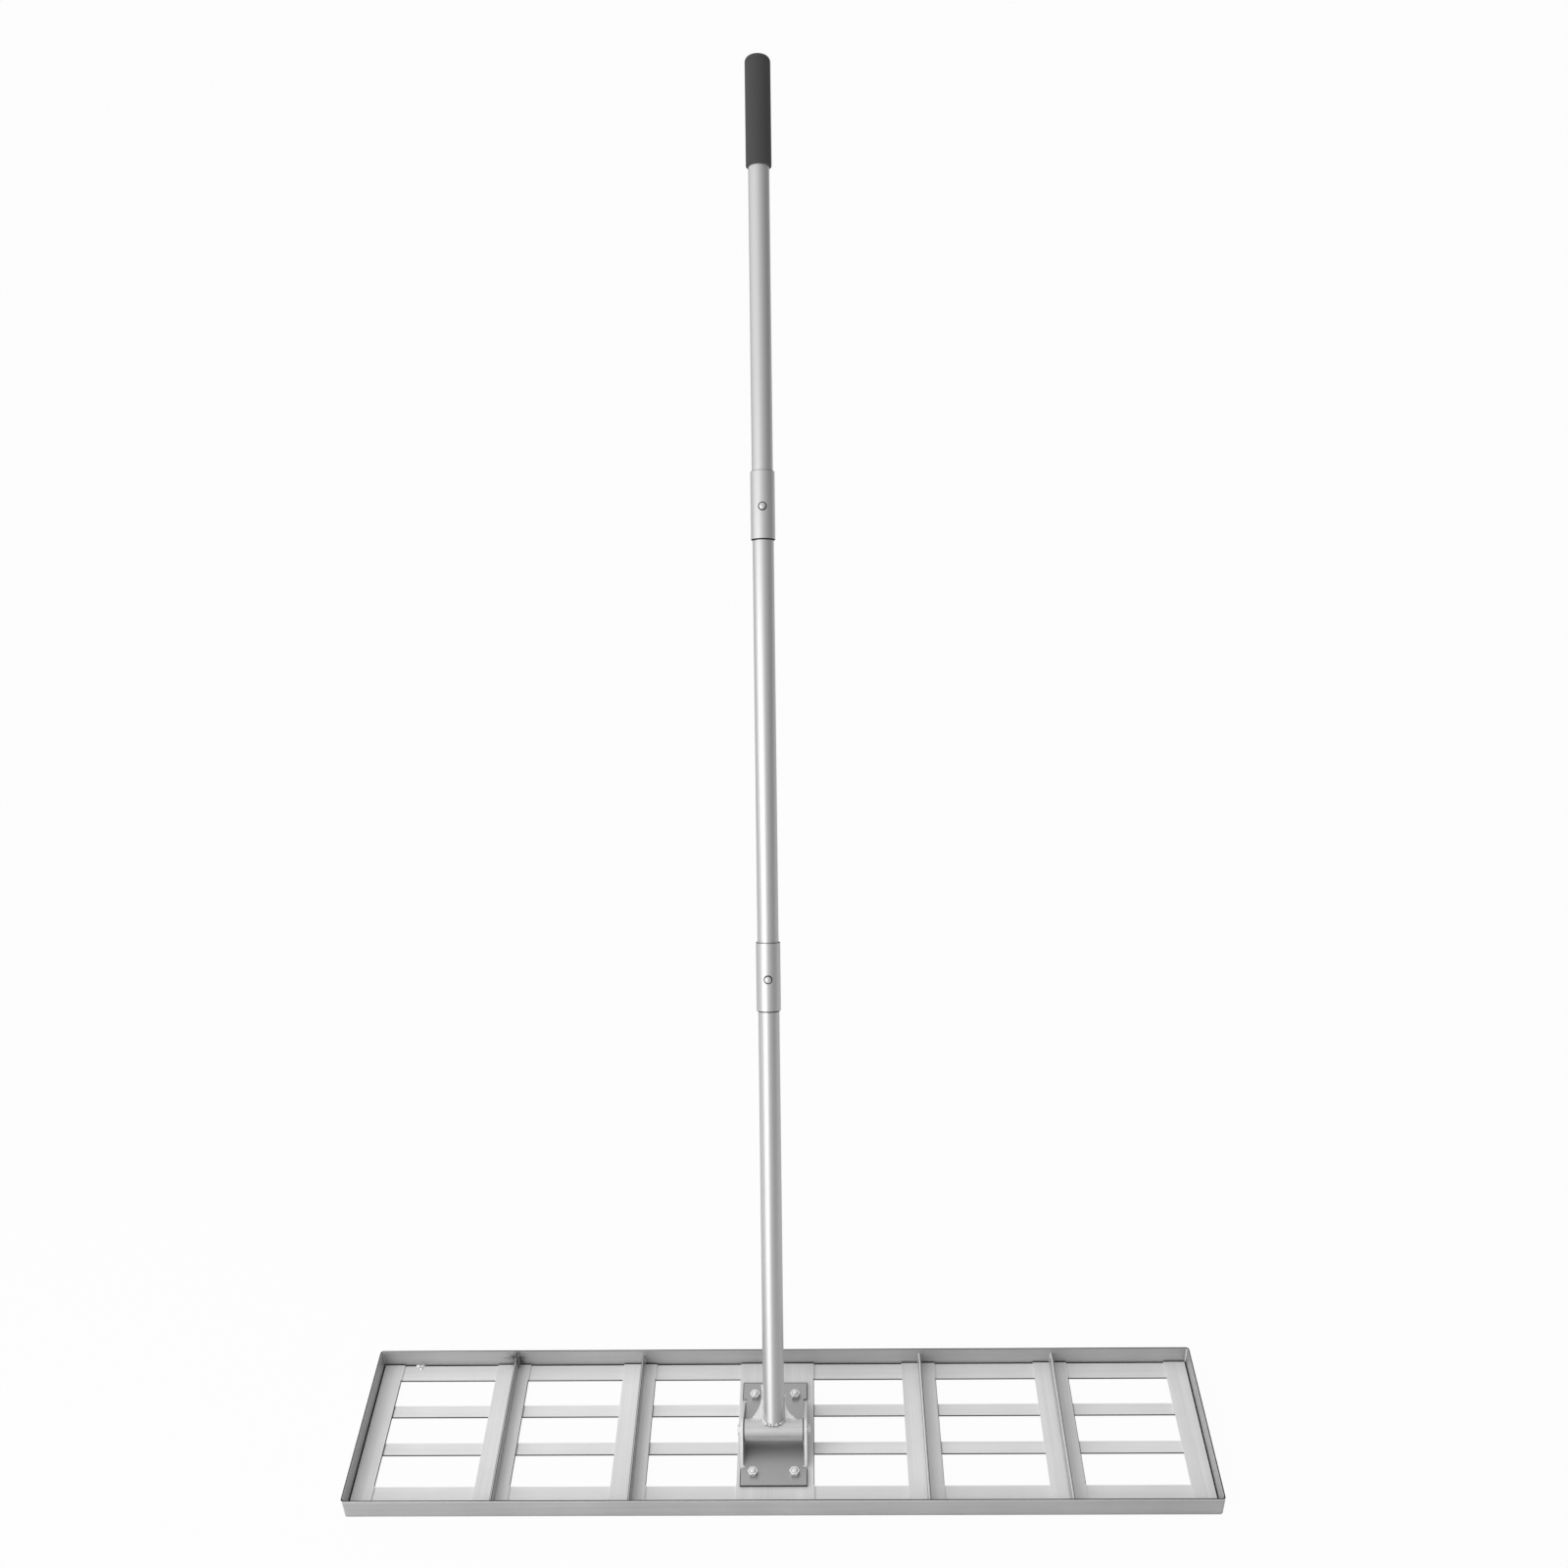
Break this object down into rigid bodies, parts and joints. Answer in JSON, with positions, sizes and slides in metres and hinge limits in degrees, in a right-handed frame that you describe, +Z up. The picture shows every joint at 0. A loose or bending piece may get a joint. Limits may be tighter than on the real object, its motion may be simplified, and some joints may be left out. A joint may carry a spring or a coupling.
{
  "type": "lawn leveling rake",
  "caption": "Lawn leveling rake: a long steel grid plate with an upright rim, hinged to a jointed tube handle with snap buttons and a soft grip.",
  "frame": {"origin": "on the ground straight below the hinge's axis, midway along the plate, on the front slat's underside", "axes": "+X along the plate to the right as seen from the front, +Y from the front rim to the rear rim, +Z up"},
  "size_m": [1.219, 1.1561, 1.7165],
  "materials": {
    "plate_steel": "stainless sheet, brushed along its length",
    "bracket_steel": "plain grey steel sheet, satin",
    "handle_steel": "satin tube with a soft sheen",
    "bright_steel": "bright zinc or stainless fasteners",
    "bush_plastic": "plain black moulded plastic",
    "grip_rubber": "matt charcoal foam rubber"
  },
  "bodies": {
    "plate": {"front_rim": "plate_steel", "rear_rim": "plate_steel", "left_rim": "plate_steel", "right_rim": "plate_steel", "front_border": "plate_steel", "rear_border": "plate_steel", "left_border": "plate_steel", "right_border": "plate_steel", "front_slat": "plate_steel", "rear_slat": "plate_steel", "left_outer_strap": "plate_steel", "left_inner_strap": "plate_steel", "right_inner_strap": "plate_steel", "right_outer_strap": "plate_steel", "center_strap": "plate_steel", "left_outer_rib": "plate_steel", "left_inner_rib": "plate_steel", "right_inner_rib": "plate_steel", "right_outer_rib": "plate_steel", "hinge_bracket": "bracket_steel", "bracket_bolts": "bright_steel", "bracket_nuts": "bright_steel", "pivot_bolt": "bright_steel", "pivot_nut": "bright_steel"},
    "handle": {"pivot_tube": "handle_steel", "left_pivot_bush": "bush_plastic", "right_pivot_bush": "bush_plastic", "lower_tube": "handle_steel", "left_gusset": "handle_steel", "right_gusset": "handle_steel", "lower_sleeve": "handle_steel", "middle_tube": "handle_steel", "upper_sleeve": "handle_steel", "upper_tube": "handle_steel", "grip": "grip_rubber", "lower_button_spring": "bright_steel", "upper_button_spring": "bright_steel"},
    "lower_button": {"lower_snap_button": "bright_steel"},
    "upper_button": {"upper_snap_button": "bright_steel"}
  },
  "joints": [
    {"name": "handle_pivot", "type": "hinge", "parent": "plate", "child": "handle", "pos_m": [-0.011, 0, 0.034], "axis": [1, 0, 0], "range_deg": [-51, 113]},
    {"name": "lower_button_press", "type": "slide", "parent": "handle", "child": "lower_button", "axis": [0, 0.8517, -0.524], "range_m": [0, 0.0053], "stiffness_N_per_m": 1500, "springref_m": -0.003, "deforming": ["lower_button_spring"]},
    {"name": "upper_button_press", "type": "slide", "parent": "handle", "child": "upper_button", "axis": [0, 0.8517, -0.524], "range_m": [0, 0.0053], "stiffness_N_per_m": 1500, "springref_m": -0.003, "deforming": ["upper_button_spring"]}
  ]
}
